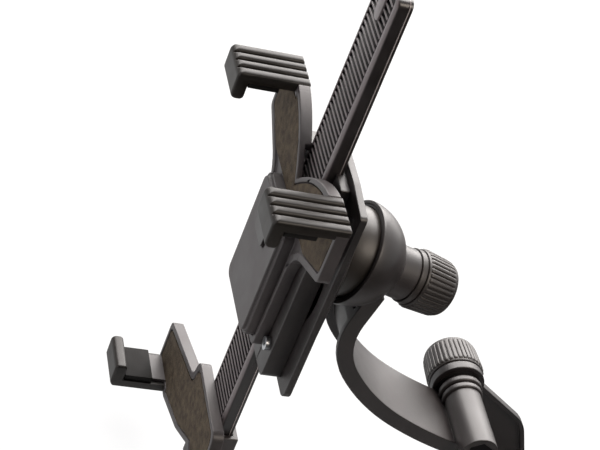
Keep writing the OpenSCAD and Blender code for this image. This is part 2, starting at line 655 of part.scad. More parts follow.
module hex_nut(l) difference() {
    cylinder(h = l, r = 5, $fn = 6);
    translate([0, 0, -cut]) cylinder(h = l + 2 * cut, r = bolt_d / 2 + 0.03);
}
module ball_knob_washer() color(black) clamp_axis() translate([0, 0, washer_start]) difference() {
    cylinder(h = washer_end - washer_start, r = 11.4);
    translate([0, 0, -cut]) cylinder(h = 10, r = bolt_d / 2 + 0.1);
}
module ball_knob() color(black) clamp_axis() translate([0, 0, ball_knob_start])
    knob(ball_knob_d, ball_knob_l, ball_knob_nut_l);
module ball_knob_nut() color(steel) clamp_axis() translate([0, 0, ball_knob_start + 0.05]) hex_nut(ball_knob_nut_l - 0.1);

// Elbow: bolt from the free end of the barrel through the arm's eye into the knob
module elbow_frame() at_elbow() rotate([0, -90, 0]) children();
module elbow_bolt() color(steel) at_elbow() {
    cyl_x(24 - 4.3, 24 - 0.4, 5.6, $fn = 6);
    cyl_x(-elbow_knob_in - 9, 22, bolt_d / 2);
}
module elbow_disc() color(nylon) at_elbow() difference() {
    cyl_x(-bracket_w / 2 - disc_t - 0.05, -bracket_w / 2 - 0.05, 9);
    cyl_x(-30, 0, bolt_d / 2 + 0.1);
}
module elbow_knob() color(black) elbow_frame() translate([0, 0, elbow_knob_in])
    knob(elbow_knob_d, elbow_knob_l, 6);
module elbow_knob_nut() color(steel) elbow_frame() translate([0, 0, elbow_knob_in + 0.05]) hex_nut(5.9);

// Lower arm: a thin channel from the eye, bent down to a screwed foot
arm_deg = -33.8;
leg_deg = -66.7;
bend_at = 39;
bend_r = 12;
bend_tan = bend_r * tan((arm_deg - leg_deg) / 2);
bend_start = (bend_at - bend_tan) * along(arm_deg);
bend_centre = bend_start + bend_r * side(arm_deg);
leg_start = bend_centre - bend_r * side(leg_deg);
leg_len = (elbow_up + leg_start[1] - foot_t + 6) / sin(-leg_deg);
function arm_line(d) = concat(
    [d * side(arm_deg), bend_start + d * side(arm_deg)],
    [for (i = [1 : 6]) let (t = arm_deg + (leg_deg - arm_deg) * i / 6) bend_centre + (d - bend_r) * side(t)],
    [leg_start + leg_len * along(leg_deg) + d * side(leg_deg)]
);
module arm_band(d0, d1) polygon(concat(
    arm_line(d0), [for (i = [len(arm_line(d1)) - 1 : -1 : 0]) arm_line(d1)[i]]
));
module arm_slice(x0, x1) translate([x0, 0, 0]) rotate([90, 0, 90]) linear_extrude(x1 - x0) children();
module lower_arm() color(black) difference() {
    union() {
        at_elbow() difference() {
            union() {
                arm_slice(-eye_out, -eye_in) arm_band(-arm_h / 2, arm_h / 2);
                cyl_x(-eye_out, -eye_in, eye_r);
            }
            // Channel between the flanges, open towards the bracket
            difference() {
                arm_slice(-eye_out + arm_wall, 0) arm_band(-arm_h / 2 + arm_wall, arm_h / 2 - arm_wall);
                cyl_x(-30, 30, eye_r);
            }
        }
        // Foot plate, its raised seat under the leg and cross ribs
        linear_extrude(foot_t) rounded_rect(foot_w, foot_l, 6);
        translate([0, leg_foot_y, 0]) {
            for (y = [-7.6, 5.2]) translate([0, y, 0]) rotate([90, 0, 0]) translate([0, 0, -2.4])
                linear_extrude(2.4) polygon([
                    [-eye_out, foot_t - 1], [16, foot_t - 1], [16, foot_t + 1], [-eye_in, foot_t + 13],
                    [-eye_out, foot_t + 13]
                ]);
            box_at([-eye_out, -eye_in], [-9, 9], [foot_t - 1, foot_t + 8]);
        }
    }
    at_elbow() {
        cyl_x(-30, 0, bolt_d / 2 + 0.1);
        cyl_x(-bracket_w / 2 - disc_t - 0.1, 0, 9.1);
    }
    for (x = [-hole_dx / 2, hole_dx / 2], y = [-hole_dy / 2, hole_dy / 2]) translate([x, y, -cut])
        cylinder(h = foot_t + 2 * cut, d = hole_d);
    translate([0, 0, -50]) cube([200, 400, 100], center = true);
}
leg_foot_y = -elbow_forward + (leg_start + (leg_len - 8) * along(leg_deg))[0];

upper_yoke();
upper_lining();
upper_left_grip();
upper_right_grip();
upper_left_pad();
upper_right_pad();
slider_housing();
back_plate();
housing_screws();
ball();
ball_screws();
release_rocker();
rocker_pin();
rocker_spring();
rail();
lower_yoke();
lower_lining();
lower_left_grip();
lower_right_grip();
lower_left_pad();
lower_right_pad();
lower_yoke_screws();
ball_liner();
pressure_dome();
bracket();
clamp_screw();
ball_knob_washer();
ball_knob();
ball_knob_nut();
elbow_bolt();
elbow_disc();
elbow_knob();
elbow_knob_nut();
lower_arm();
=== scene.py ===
from math import acos, atan2, cos, pi, radians, sin, sqrt

import bmesh
import bpy
from mathutils import Matrix, Vector


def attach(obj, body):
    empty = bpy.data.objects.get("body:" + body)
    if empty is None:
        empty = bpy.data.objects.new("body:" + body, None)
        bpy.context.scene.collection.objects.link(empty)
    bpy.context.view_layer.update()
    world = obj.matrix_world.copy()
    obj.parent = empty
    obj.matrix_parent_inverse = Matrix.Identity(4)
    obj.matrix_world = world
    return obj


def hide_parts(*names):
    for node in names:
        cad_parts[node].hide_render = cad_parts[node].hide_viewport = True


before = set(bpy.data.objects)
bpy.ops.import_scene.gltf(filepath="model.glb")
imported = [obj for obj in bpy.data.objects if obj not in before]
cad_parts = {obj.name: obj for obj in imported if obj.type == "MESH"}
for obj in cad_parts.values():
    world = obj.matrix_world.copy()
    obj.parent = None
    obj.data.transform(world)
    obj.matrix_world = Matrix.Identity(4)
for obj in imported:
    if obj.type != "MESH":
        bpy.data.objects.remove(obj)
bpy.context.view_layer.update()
MM = 0.001  # the sizes below are in millimetres


# Lower arm: a thin channel-section arm with a leg and a screwed foot, moulded in one piece of
# glass-filled nylon. The mould leaves small rounded edges and a fine spark-eroded grain.
def linear(code):
    """The linear colour of an sRGB hex value, as a shader socket wants it."""
    parts = [int(code[i:i + 2], 16) / 255 for i in (1, 3, 5)]
    return [c / 12.92 if c <= 0.04045 else ((c + 0.055) / 1.055) ** 2.4 for c in parts] + [1.0]


def add(tree, kind, settings=None, **sockets):
    """Adds a node. A socket's name has _ for a space, and its value may be another's output."""
    node = tree.nodes.new(kind)
    for name, value in (settings or {}).items():
        setattr(node, name, value)
    for name, value in sockets.items():
        socket = next(s for s in node.inputs if s.enabled and (
            name == s.identifier or name.replace("_", " ") == s.name))
        if isinstance(value, bpy.types.NodeSocket):
            tree.links.new(value, socket)
        else:
            socket.default_value = value
    return node


def finish_start(name):
    """A new material with an empty tree and its object coordinates."""
    material = bpy.data.materials.new(name)
    material.use_nodes = True
    material.node_tree.nodes.clear()
    tree = material.node_tree
    place = add(tree, "ShaderNodeTexCoord").outputs["Object"]
    return material, tree, place


def moulded_finish(name, dark, light, rough, grain_mm, depth_mm, cloud_mm=14, gloss=0.75, coat=0.0):
    """Moulded plastic: spark-eroded grain in the bump, faintly cloudy in colour and gloss."""
    material, tree, place = finish_start(name)
    grain = add(tree, "ShaderNodeTexNoise", Vector=place, Scale=1 / (grain_mm * MM), Detail=3.0,
                Roughness=0.6)
    cloud = add(tree, "ShaderNodeTexNoise", Vector=place, Scale=1 / (cloud_mm * MM), Detail=4.0,
                Roughness=0.55)
    both = add(tree, "ShaderNodeMath", {"operation": "MULTIPLY_ADD"}, Value=grain.outputs["Fac"],
               Value_001=0.35, Value_002=cloud.outputs["Fac"])
    tone = add(tree, "ShaderNodeMapRange", Value=both.outputs[0], From_Min=0.45, From_Max=0.95)
    colour = add(tree, "ShaderNodeMix", {"data_type": "RGBA"}, Factor_Float=tone.outputs[0],
                 A_Color=linear(dark), B_Color=linear(light))
    sheen = add(tree, "ShaderNodeMapRange", Value=cloud.outputs["Fac"], From_Min=0.3, From_Max=0.7,
                To_Min=rough - 0.05, To_Max=rough + 0.06)
    bump = add(tree, "ShaderNodeBump", Height=grain.outputs["Fac"], Strength=0.6,
               Distance=depth_mm * MM)
    shader = add(tree, "ShaderNodeBsdfPrincipled", Base_Color=colour.outputs["Result"],
                 Roughness=sheen.outputs[0], IOR=1.5, Specular_IOR_Level=gloss,
                 Coat_Weight=coat, Coat_Roughness=0.25, Normal=bump.outputs[0])
    add(tree, "ShaderNodeOutputMaterial", Surface=shader.outputs[0])
    return material


# Glass-filled nylon, moulded: a dark grey-brown satin with a grain of about half a millimetre
arm_nylon = moulded_finish("glass_filled_nylon_moulded", "#171314", "#201b1c", 0.42, 0.5, 0.03)


def place_piece(mesh, name, finish, body, nodes):
    """Makes a finished mesh one piece of the scene, which rides on a body and stands for nodes."""
    piece = bpy.data.objects.new(name, mesh)
    bpy.context.scene.collection.objects.link(piece)
    mesh.materials.clear()
    mesh.materials.append(finish)
    for face in mesh.polygons:
        face.material_index = 0
    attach(piece, body)
    if nodes:
        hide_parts(*nodes)
    return piece


def mesh_of(shape, name, sharp_deg=None):
    """The smooth mesh of a finished shape. Edges that turn by more than sharp_deg stay sharp."""
    mesh = bpy.data.meshes.new(name)
    shape.to_mesh(mesh)
    shape.free()
    for face in mesh.polygons:
        face.use_smooth = True
    if sharp_deg:
        mesh.set_sharp_from_angle(angle=radians(sharp_deg))
    return mesh


def rounded_copy(node, name, edge_mm, finish, body, sharp_deg=32, cuts=(), bend=None):
    """The CAD piece as the mould gives it: bent, cut by blocks, its edges rounded by edge_mm."""
    shape = bmesh.new()
    shape.from_mesh(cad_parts[node].data)
    # The CAD's triangles are joined to whole flat faces, so that the rounding follows real edges
    bmesh.ops.remove_doubles(shape, verts=shape.verts, dist=0.003 * MM)
    bmesh.ops.dissolve_limit(shape, angle_limit=radians(0.4), verts=shape.verts, edges=shape.edges)
    bmesh.ops.connect_verts_concave(shape, faces=shape.faces)
    if bend:
        bend(shape)
    mesh = mesh_of(shape, name)
    draft = bpy.data.objects.new(name + "_draft", mesh)
    bpy.context.scene.collection.objects.link(draft)
    blocks = []
    for place, size in cuts:
        # The blocks' faces aren't smooth, so the cuts stay flat
        block = bpy.data.meshes.new("block")
        shape = bmesh.new()
        bmesh.ops.create_cube(shape, size=1)
        shape.transform(place @ Matrix.Diagonal((*(Vector(size) * MM), 1)))
        shape.to_mesh(block)
        shape.free()
        blocks.append(bpy.data.objects.new("block", block))
        bpy.context.scene.collection.objects.link(blocks[-1])
        cut = draft.modifiers.new("cut", "BOOLEAN")
        cut.object = blocks[-1]
        cut.operation = "DIFFERENCE"
        cut.solver = "EXACT"
    bevel = draft.modifiers.new("mould radius", "BEVEL")
    bevel.width = edge_mm * MM
    bevel.segments = 2
    bevel.limit_method = "ANGLE"
    bevel.angle_limit = radians(sharp_deg)
    bevel.use_clamp_overlap = False
    bevel.miter_outer = "MITER_SHARP"
    weigh = draft.modifiers.new("even shading", "WEIGHTED_NORMAL")
    weigh.keep_sharp = True
    bpy.context.view_layer.update()
    graph = bpy.context.evaluated_depsgraph_get()
    done = bpy.data.meshes.new_from_object(draft.evaluated_get(graph))
    done.name = name
    for thing in [draft, *blocks]:
        bpy.data.objects.remove(thing)
    return place_piece(done, name, finish, body, [node])


rounded_copy("lower_arm", "lower_arm_moulding", 0.5, arm_nylon, "arm")

# Bracket: cup, stem, S-shaped channel and elbow barrel in one moulding of the same nylon.
# Its cup is polished in the mould, so it shines more than the arm.
bracket_nylon = moulded_finish("glass_filled_nylon_satin", "#1c1717", "#262020", 0.47, 0.45, 0.02,
                               coat=0.15)
rounded_copy("bracket", "bracket_moulding", 0.4, bracket_nylon, "bracket")


def metal_finish(name, colour, light, rough, grain_mm, depth_mm):
    """Plated or turned metal: fine tool marks in the bump and a little unevenness in the gloss."""
    material, tree, place = finish_start(name)
    marks = add(tree, "ShaderNodeTexNoise", Vector=place, Scale=1 / (grain_mm * MM), Detail=4.0)
    tint = add(tree, "ShaderNodeMix", {"data_type": "RGBA"}, Factor_Float=marks.outputs["Fac"],
               A_Color=linear(colour), B_Color=linear(light))
    gloss = add(tree, "ShaderNodeMapRange", Value=marks.outputs["Fac"], To_Min=rough - 0.06,
                To_Max=rough + 0.08)
    bump = add(tree, "ShaderNodeBump", Height=marks.outputs["Fac"], Strength=0.5,
               Distance=depth_mm * MM)
    shader = add(tree, "ShaderNodeBsdfPrincipled", Base_Color=tint.outputs["Result"], Metallic=1.0,
                 Roughness=gloss.outputs[0], Normal=bump.outputs[0])
    add(tree, "ShaderNodeOutputMaterial", Surface=shader.outputs[0])
    return material


def keep(node, finish):
    """Gives a CAD piece that stays as it is the finish of the real one."""
    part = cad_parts[node]
    part.data.materials.clear()
    part.data.materials.append(finish)


# Clamping hardware: zinc-plated steel screws, a blacked elbow bolt, brass nuts pressed into the
# knobs, a black nylon liner in the cup and a nylon disc in the elbow. Most of it is hidden.
zinc = metal_finish("zinc_plated_steel", "#b4b6ba", "#c6c8cb", 0.34, 0.4, 0.01)
brass = metal_finish("turned_brass", "#b99650", "#cbaa66", 0.32, 0.3, 0.01)
blacked = metal_finish("black_oxide_steel", "#2b2829", "#393637", 0.42, 0.4, 0.01)
black_nylon = moulded_finish("black_nylon_moulded", "#141213", "#1b191a", 0.5, 0.6, 0.02)
for part in ("clamp_screw", "pressure_dome"):
    keep(part, zinc)
keep("elbow_bolt", blacked)
for part in ("ball_knob_nut", "elbow_knob_nut"):
    keep(part, brass)
for part in ("ball_liner", "elbow_disc"):
    keep(part, black_nylon)

# Knobs: ABS turning grips with 36 moulded ribs round a slightly tapered body, a smooth rounded
# far end and a shallow dished cap. A plain collar washer sits between cup and ball knob.
# The ribs stand half a millimetre proud and leave narrow dark grooves.
knob_abs = moulded_finish("abs_satin_moulded", "#1f1a18", "#28221f", 0.44, 0.4, 0.02)
rounded_copy("ball_knob_washer", "collar_washer", 0.35, knob_abs, "ball_knob")
knob_ribs = 36


def at(x, y, z):
    """The move to a point in millimetres."""
    return Matrix.Translation(Vector((x, y, z)) * MM)


# Each knob turns about its own Z: from the ball's centre along the cup's stem, and from the
# elbow's centre along the barrel
clamp_place = at(0, -132.1, 151.6) @ Matrix.Rotation(radians(-106), 4, "X")
elbow_place = at(0, -52, 75) @ Matrix.Rotation(radians(-90), 4, "Y")


def socket_of(tree, name):
    """The identifier of a tree's named input."""
    return next(i.identifier for i in tree.interface.items_tree
                if i.item_type == "SOCKET" and i.in_out == "INPUT" and i.name == name)


def open_tree(name, inputs):
    """A new geometry tree with a shape going in and out and the named inputs."""
    tree = bpy.data.node_groups.new(name, "GeometryNodeTree")
    tree.interface.new_socket("Shape", in_out="OUTPUT", socket_type="NodeSocketGeometry")
    tree.interface.new_socket("Shape", in_out="INPUT", socket_type="NodeSocketGeometry")
    for label, kind in inputs.items():
        tree.interface.new_socket(label, in_out="INPUT", socket_type="NodeSocket" + kind)
    return tree, tree.nodes.new("NodeGroupInput"), tree.nodes.new("NodeGroupOutput")


def grow(tree, mesh, name, values):
    """Runs a geometry tree on a mesh with these values for its inputs and gives the plain mesh."""
    draft = bpy.data.objects.new(name + "_draft", mesh)
    bpy.context.scene.collection.objects.link(draft)
    maker = draft.modifiers.new("maker", "NODES")
    maker.node_group = tree
    for label, value in values.items():
        maker[socket_of(tree, label)] = value
    bpy.context.view_layer.update()
    graph = bpy.context.evaluated_depsgraph_get()
    done = bpy.data.meshes.new_from_object(draft.evaluated_get(graph))
    done.name = name
    bpy.data.objects.remove(draft)
    return done


def copies(tree, start, end, points, **turned):
    """Ends a tree: its shape is copied to each point, made real and given its finish."""
    ribs = add(tree, "GeometryNodeInstanceOnPoints", Points=points,
               Instance=start.outputs["Shape"], **turned)
    real = add(tree, "GeometryNodeRealizeInstances", Geometry=ribs.outputs[0])
    coloured = add(tree, "GeometryNodeSetMaterial", Geometry=real.outputs[0],
                   Material=start.outputs["Finish"])
    tree.links.new(coloured.outputs[0], end.inputs[0])
    return tree


def ring_tree():
    """Copies of one rib round a circle about Z, each turned outwards."""
    tree, start, end = open_tree("knob_rib_ring", {"Count": "Int", "Radius": "Float",
                                                   "Finish": "Material"})
    circle = add(tree, "GeometryNodeMeshCircle", Vertices=start.outputs["Count"],
                 Radius=start.outputs["Radius"])
    number = add(tree, "GeometryNodeInputIndex")
    turn = add(tree, "ShaderNodeMath", {"operation": "DIVIDE"}, Value=2 * pi,
               Value_001=start.outputs["Count"])
    angle = add(tree, "ShaderNodeMath", {"operation": "MULTIPLY"}, Value=number.outputs[0],
                Value_001=turn.outputs[0])
    facing = add(tree, "ShaderNodeCombineXYZ", Z=angle.outputs[0])
    return copies(tree, start, end, circle.outputs[0], Rotation=facing.outputs[0])


rib_ring = ring_tree()


def lathe(points, steps):
    """A closed shape turned about Z from its profile, as radius and height."""
    shape = bmesh.new()
    rows = []
    for i in range(steps):
        a = 2 * pi * i / steps
        rows.append([shape.verts.new((r * cos(a) * MM, r * sin(a) * MM, z * MM))
                     for r, z in points])
    for i in range(steps):
        near, far = rows[i], rows[(i + 1) % steps]
        for j in range(len(points)):
            k = (j + 1) % len(points)
            shape.faces.new((near[j], far[j], far[k], near[k]))
    bmesh.ops.remove_doubles(shape, verts=shape.verts, dist=0.001 * MM)
    bmesh.ops.recalc_face_normals(shape, faces=shape.faces)
    return shape


def loft(rings):
    """A closed solid through rings of points in millimetres, with a face over each end."""
    shape = bmesh.new()
    rows = [[shape.verts.new([c * MM for c in point]) for point in ring] for ring in rings]
    count = len(rows[0])
    for near, far in zip(rows, rows[1:]):
        for i in range(count):
            k = (i + 1) % count
            shape.faces.new((near[i], near[k], far[k], far[i]))
    shape.faces.new(rows[0][::-1])
    shape.faces.new(rows[-1])
    bmesh.ops.recalc_face_normals(shape, faces=shape.faces)
    return shape


def knob_mesh(name, diameter, length, nut_length):
    """A knob along Z: turned body with its bores, and the ring of ribs joined to it."""
    # The body's radius between the ribs at its near and far end, and the smaller radii on it
    near = diameter / 2 - 0.45
    far = near - 0.75
    nose_r, bore_r, axis_r = 2.2, 3.1, 0.0001
    dish, nut_end = length - 0.6, nut_length + 5
    nose = [(far - nose_r + nose_r * cos(radians(a)), length - nose_r + nose_r * sin(radians(a)))
            for a in range(0, 91, 9)]
    body = lathe([(bore_r, 0), (near - 0.9, 0), (near - 0.25, 0.25), (near, 0.9),
                  (near - 0.02, 1.2), *nose, (far - 4.0, length), (far - 4.5, length - 0.15),
                  (far - 4.8, dish), (4, dish), (axis_r, dish), (axis_r, nut_end),
                  (bore_r, nut_end)], 108)
    # One rib: a rounded bar that swells up at the near end and runs out at the far end
    rib_half = 0.42 * pi * diameter / knob_ribs
    rib_height, root_depth, swell, run_out = 0.55, 0.35, 0.09, 0.18
    rings = []
    for t in (0.0, 0.03, 0.09, 0.2, 0.4, 0.6, 0.78, 0.88, 0.95, 1.0):
        z = 0.9 + t * (length - 3.0)
        short = max(0, (swell - t) / swell), max(0, (t - 1 + run_out) / run_out)
        proud = rib_height * sqrt(max(0, 1 - short[0] ** 2)) * sqrt(max(0, 1 - short[1] ** 2))
        lean = (far - near) * min(1, max(0, (z - 1.2) / (length - 3.4)))
        rings.append([(lean - root_depth + (root_depth + proud) * sin(radians(a)) ** 0.4,
                       rib_half * cos(radians(a)), z)
                      for a in (0, 18, 40, 65, 90, 115, 140, 162, 180)])
    ring = grow(rib_ring, mesh_of(loft(rings), name + "_rib"), name,
                {"Count": knob_ribs, "Radius": near * MM, "Finish": knob_abs})
    body.from_mesh(ring)
    bmesh.ops.recalc_face_normals(body, faces=body.faces)
    return mesh_of(body, name, 40)


for knob, place, diameter, length, start in (("ball_knob", clamp_place, 24.9, 16, 29.9),
                                             ("elbow_knob", elbow_place, 25, 16.2, 20.1)):
    mesh = knob_mesh(knob + "_grip", diameter, length, 6)
    mesh.transform(place @ at(0, 0, start))
    place_piece(mesh, knob + "_grip", knob_abs, knob, [knob])

# Two turned rings on the elbow barrel beside the arm's eye, moulded with the bracket
barrel_r = 7.4
for side, near, wide in (("outer", 13.4, 9.6), ("inner", 10.0, 8.9)):
    ring = lathe([(barrel_r, near - 2.9), (wide - 0.5, near - 2.9), (wide - 0.1, near - 2.6),
                  (wide, near - 2.2), (wide, near - 0.6), (wide - 0.15, near - 0.2),
                  (wide - 0.6, near), (barrel_r, near)], 72)
    mesh = mesh_of(ring, f"{side}_barrel_ring", 50)
    mesh.transform(elbow_place)
    place_piece(mesh, f"{side}_barrel_ring", bracket_nylon, "bracket", [])

# Ball and back plate: the polished hollow ball is screwed to the flared boss of the back plate,
# which screws hold to the slider housing in front of it. Polished ABS and satin ABS.
ball_abs = moulded_finish("abs_satin_ball", "#1e1915", "#27211c", 0.42, 0.5, 0.01)
shell_abs = moulded_finish("abs_spark_eroded", "#1b1717", "#252020", 0.42, 0.45, 0.025)
rounded_copy("ball", "ball_moulding", 0.15, ball_abs, "head")
keep("ball_screws", zinc)
# The plate's upper left corner is cut off at a slant
corner_turn = Matrix.Rotation(radians(31), 4, "Y")
corner_cut = (at(-29, -150, 180) @ corner_turn @ at(-20, 0, 0), (40, 40, 80))
rounded_copy("back_plate", "back_plate_moulding", 0.4, shell_abs, "head",
             sharp_deg=20, cuts=[corner_cut])
# The housing's front stops below the yoke's edge, so the rail's flank shows further down
front_cut = (at(0, -166, 186), (90, 20, 20))
side_cuts = [(at(-24, -152, 194), (20, 16, 20)), (at(32, -152, 188), (20, 16, 20))]
rounded_copy("slider_housing", "slider_housing_moulding", 0.35, shell_abs, "head",
             cuts=[front_cut, *side_cuts])
keep("housing_screws", zinc)

# Rail: a flat ABS bar with ratchet ribs on its front, a thin flat border on the left, a smooth
# rounded rim on the right and a bare raised pad near its upper end. It slides in the housing
# and carries the lower yoke.
rail_abs = moulded_finish("abs_rail_satin", "#1a1617", "#231f20", 0.36, 0.4, 0.02)
rail_front, rail_root, rail_back = -159.7, -158.5, -153.2
rail_low, rail_high, rail_half = 22.5, 272.0, 12
ribs_left, ribs_right = -11.0, 9.0
upper_z = 195  # the line on which the upper grips sit
tree = rail_abs.node_tree
shader = next(node for node in tree.nodes if node.type == "BSDF_PRINCIPLED")
depth = add(tree, "ShaderNodeSeparateXYZ", Vector=add(tree, "ShaderNodeTexCoord").outputs["Object"])
# Painted highlight: the ribs' crests and the front of the rim on the right are painted pale where
# light catches them
crest = add(tree, "ShaderNodeMapRange", Value=depth.outputs[1], From_Min=(rail_root - 0.88) * MM,
            From_Max=(rail_root - 0.98) * MM)
rim = add(tree, "ShaderNodeMapRange", Value=depth.outputs[0], From_Min=9.2 * MM, From_Max=9.5 * MM)
rim_front = add(tree, "ShaderNodeMapRange", Value=depth.outputs[1], From_Min=(rail_root - 0.1) * MM,
                From_Max=(rail_root - 0.6) * MM, To_Max=rim.outputs[0])
either = add(tree, "ShaderNodeMath", {"operation": "MAXIMUM"}, Value=crest.outputs[0],
             Value_001=rim_front.outputs[0])
# The pale #5f585a is a painted highlight on the crests and the rim's front
crest_and_rim_highlight = add(tree, "ShaderNodeMix", {"data_type": "RGBA"}, Factor_Float=either.outputs[0],
           A_Color=shader.inputs["Base Color"].links[0].from_socket, B_Color=linear("#5f585a"))
# Painted highlight: a thin pale line is painted along the bead on each flank
bead = add(tree, "ShaderNodeMath", {"operation": "COMPARE"}, Value=depth.outputs[1],
           Value_001=(rail_back - 1.3) * MM, Value_002=0.16 * MM)
# The pale #8d8585 is a painted highlight line along the bead
bead_highlight = add(tree, "ShaderNodeMix", {"data_type": "RGBA"}, Factor_Float=bead.outputs[0],
                A_Color=crest_and_rim_highlight.outputs["Result"], B_Color=linear("#8d8585"))
# The grooves between the ribs are deep and narrow, so hardly any light comes back from them
among = add(tree, "ShaderNodeMath", {"operation": "COMPARE"}, Value=depth.outputs[0],
            Value_001=(ribs_left + ribs_right + 0.2) / 2 * MM, Value_002=10.1 * MM)
deep = add(tree, "ShaderNodeMath", {"operation": "COMPARE"}, Value=depth.outputs[1],
           Value_001=(rail_root - 0.4) * MM, Value_002=0.5 * MM)
groove = add(tree, "ShaderNodeMath", {"operation": "MULTIPLY"}, Value=among.outputs[0],
             Value_001=deep.outputs[0])
shaded = add(tree, "ShaderNodeMix", {"data_type": "RGBA"}, Factor_Float=groove.outputs[0],
             A_Color=bead_highlight.outputs["Result"], B_Color=linear("#0e0c0d"))
dulled = add(tree, "ShaderNodeMapRange", Value=groove.outputs[0], To_Min=0.75, To_Max=0.06)
tree.links.new(shaded.outputs["Result"], shader.inputs["Base Color"])
tree.links.new(dulled.outputs[0], shader.inputs["Specular IOR Level"])
rib_pitch = 2.7
pawl_z = upper_z - 71.9  # the ribs are counted from the pawl's first tooth
first_rib = pawl_z - 35 * rib_pitch
rib_count = int((upper_z + 75 - first_rib) / rib_pitch)


def rail_bar():
    """The bar without its ribs: its section in x and y, drawn up along z with rounded ends."""
    section = [(-12, rail_front + 0.3), (-11.8, rail_front), (-11.1, rail_front),
               (ribs_left, rail_root), (9.3, rail_root), (9.5, rail_front + 0.1), (9.8, rail_front),
               (10.6, rail_front)]
    section += [(10.4 + 1.6 * sin(radians(a)), rail_front + 1.6 - 1.6 * cos(radians(a)))
                for a in (22, 36, 50, 64, 78, 90)]
    # Both flanks have a fine bead near the back
    flank = [(rail_half, -1.9), (11.75, -1.75), (11.75, -1.6), (rail_half, -1.4), (rail_half, -0.3),
             (11.7, 0)]
    section += [(x, rail_back + y) for x, y in flank]
    section += [(-x, rail_back + y) for x, y in reversed(flank)]
    ends = [(rail_low + 3 - 3 * cos(radians(a)), 3 - 3 * sin(radians(a))) for a in range(0, 91, 15)]
    ends += [(rail_low + rail_high - z, inset) for z, inset in reversed(ends)]
    return loft([[(x * (rail_half - inset) / rail_half, y, z) for x, y in section]
                 for z, inset in ends])


def one_rib():
    """One rib, steep below and sloped above, with round ends and soft edges, at its place."""
    rings = []
    # How far above the root, from where to where along the rail, and how much shorter
    for lift, low, high, short in ((-0.4, -0.95, 0.74, 0), (0.0, -0.93, 0.7, 0),
                                   (0.7, -0.91, 0.14, 0.02), (1.0, -0.87, -0.12, 0.08),
                                   (1.12, -0.8, -0.24, 0.16), (1.19, -0.68, -0.38, 0.3)):
        middle, half = (low + high) / 2, (high - low) / 2
        end = [(short + half * (1 - sin(radians(a))), middle + half * cos(radians(a)))
               for a in range(0, 181, 30)]
        ring = [(ribs_left + x, z) for x, z in end]
        ring += [(ribs_right - x, z) for x, z in reversed(end)]
        rings.append([(x, rail_root - lift, z) for x, z in ring])
    return mesh_of(loft(rings), "rail_rib")


def row_tree():
    """Copies of one rib in a straight row."""
    tree, start, end = open_tree("rail_rib_row", {"Count": "Int", "First": "Vector",
                                                  "Step": "Vector", "Finish": "Material"})
    line = add(tree, "GeometryNodeMeshLine", Count=start.outputs["Count"],
               Start_Location=start.outputs["First"], Offset=start.outputs["Step"])
    return copies(tree, start, end, line.outputs[0])


def raised_pad():
    """The bare pad over the ribs near the rail's upper end, with a soft edge."""
    pad_x, pad_z, corner_r = -1, 262.5, 2.5
    rings = []
    for lift, inset in ((-0.3, 0), (1.5, 0), (1.7, 0.1), (1.8, 0.35)):
        rings.append([(pad_x + x + (corner_r - inset) * cos(radians(start + a)), rail_root - lift,
                       pad_z + z + (corner_r - inset) * sin(radians(start + a)))
                      for x, z, start in ((0.5, 4, 0), (-0.5, 4, 90), (-0.5, -4, 180),
                                          (0.5, -4, 270))
                      for a in (0, 22.5, 45, 67.5, 90)])
    return mesh_of(loft(rings), "pad")


ribs = grow(row_tree(), one_rib(), "rail_ribs",
            {"Count": rib_count, "First": (0, 0, (first_rib + 1.9) * MM),
             "Step": (0, 0, rib_pitch * MM), "Finish": rail_abs})
shape = rail_bar()
shape.from_mesh(ribs)
shape.from_mesh(raised_pad())
place_piece(mesh_of(shape, "rail_bar_with_ribs", 24), "rail_bar_with_ribs", rail_abs,
            "jaw", ["rail"])

# Yokes: thin shells with a rim round a lined recess, and hard fingers that carry the grips.
# Moulded in ABS. The linings are brown foamed rubber, glued into the recess.
yoke_abs = moulded_finish("abs_yoke_matt", "#2a2526", "#352f30", 0.5, 0.5, 0.03)
foam = moulded_finish("brown_foam_rubber", "#2a221a", "#50473a", 0.88, 0.8, 0.5, cloud_mm=3.5,
                      gloss=0.2)


def round_shoulders(shape):
    """The yoke's top edge runs as one arc from the notch in its middle up to each finger."""
    for step in range(-22, 23):
        bmesh.ops.bisect_plane(shape, geom=[*shape.verts, *shape.edges, *shape.faces],
                               plane_co=(step * 1.5 * MM, 0, 0), plane_no=(1, 0, 0),
                               dist=0.01 * MM)
    finger, shoulder, notch = 33.9, 6.5, -13
    for vert in shape.verts:
        x, z = abs(vert.co.x) / MM, vert.co.z / MM - upper_z
        if x < finger:
            # The CAD's edge climbs on two slopes with a short bow between them, then runs flat
            bow = min(max(x - 13.2, 0), 3.8)
            cad_edge = min(-11.475 + 0.6875 * x - 0.0276 * bow * bow - 0.2098 * max(x - 17, 0),
                           shoulder)
            arc = notch + x - 0.01253 * x * x
            # What lies up to 5 mm below the edge moves with it, and below 9 mm nothing moves
            share = min(max((z - cad_edge + 9) / 4, 0), 1)
            vert.co.z += (arc - cad_edge) * share * MM


rounded_copy("upper_yoke", "upper_yoke_moulding", 0.45, yoke_abs, "head",
             bend=round_shoulders)
rounded_copy("lower_yoke", "lower_yoke_moulding", 0.45, yoke_abs, "jaw")
keep("lower_yoke_screws", zinc)
rounded_copy("upper_lining", "upper_lining_sheet", 0.15, foam, "head",
             bend=round_shoulders)
rounded_copy("lower_lining", "lower_lining_sheet", 0.15, foam, "jaw")

# Release: a rocker with a thumb pad, which lifts the pawl out of the rail's ribs. It turns on
# a steel pin, and a music-wire torsion spring pushes it back.
rounded_copy("release_rocker", "release_rocker_moulding", 0.2, shell_abs, "rocker")
keep("rocker_pin", zinc)
keep("rocker_spring", zinc)

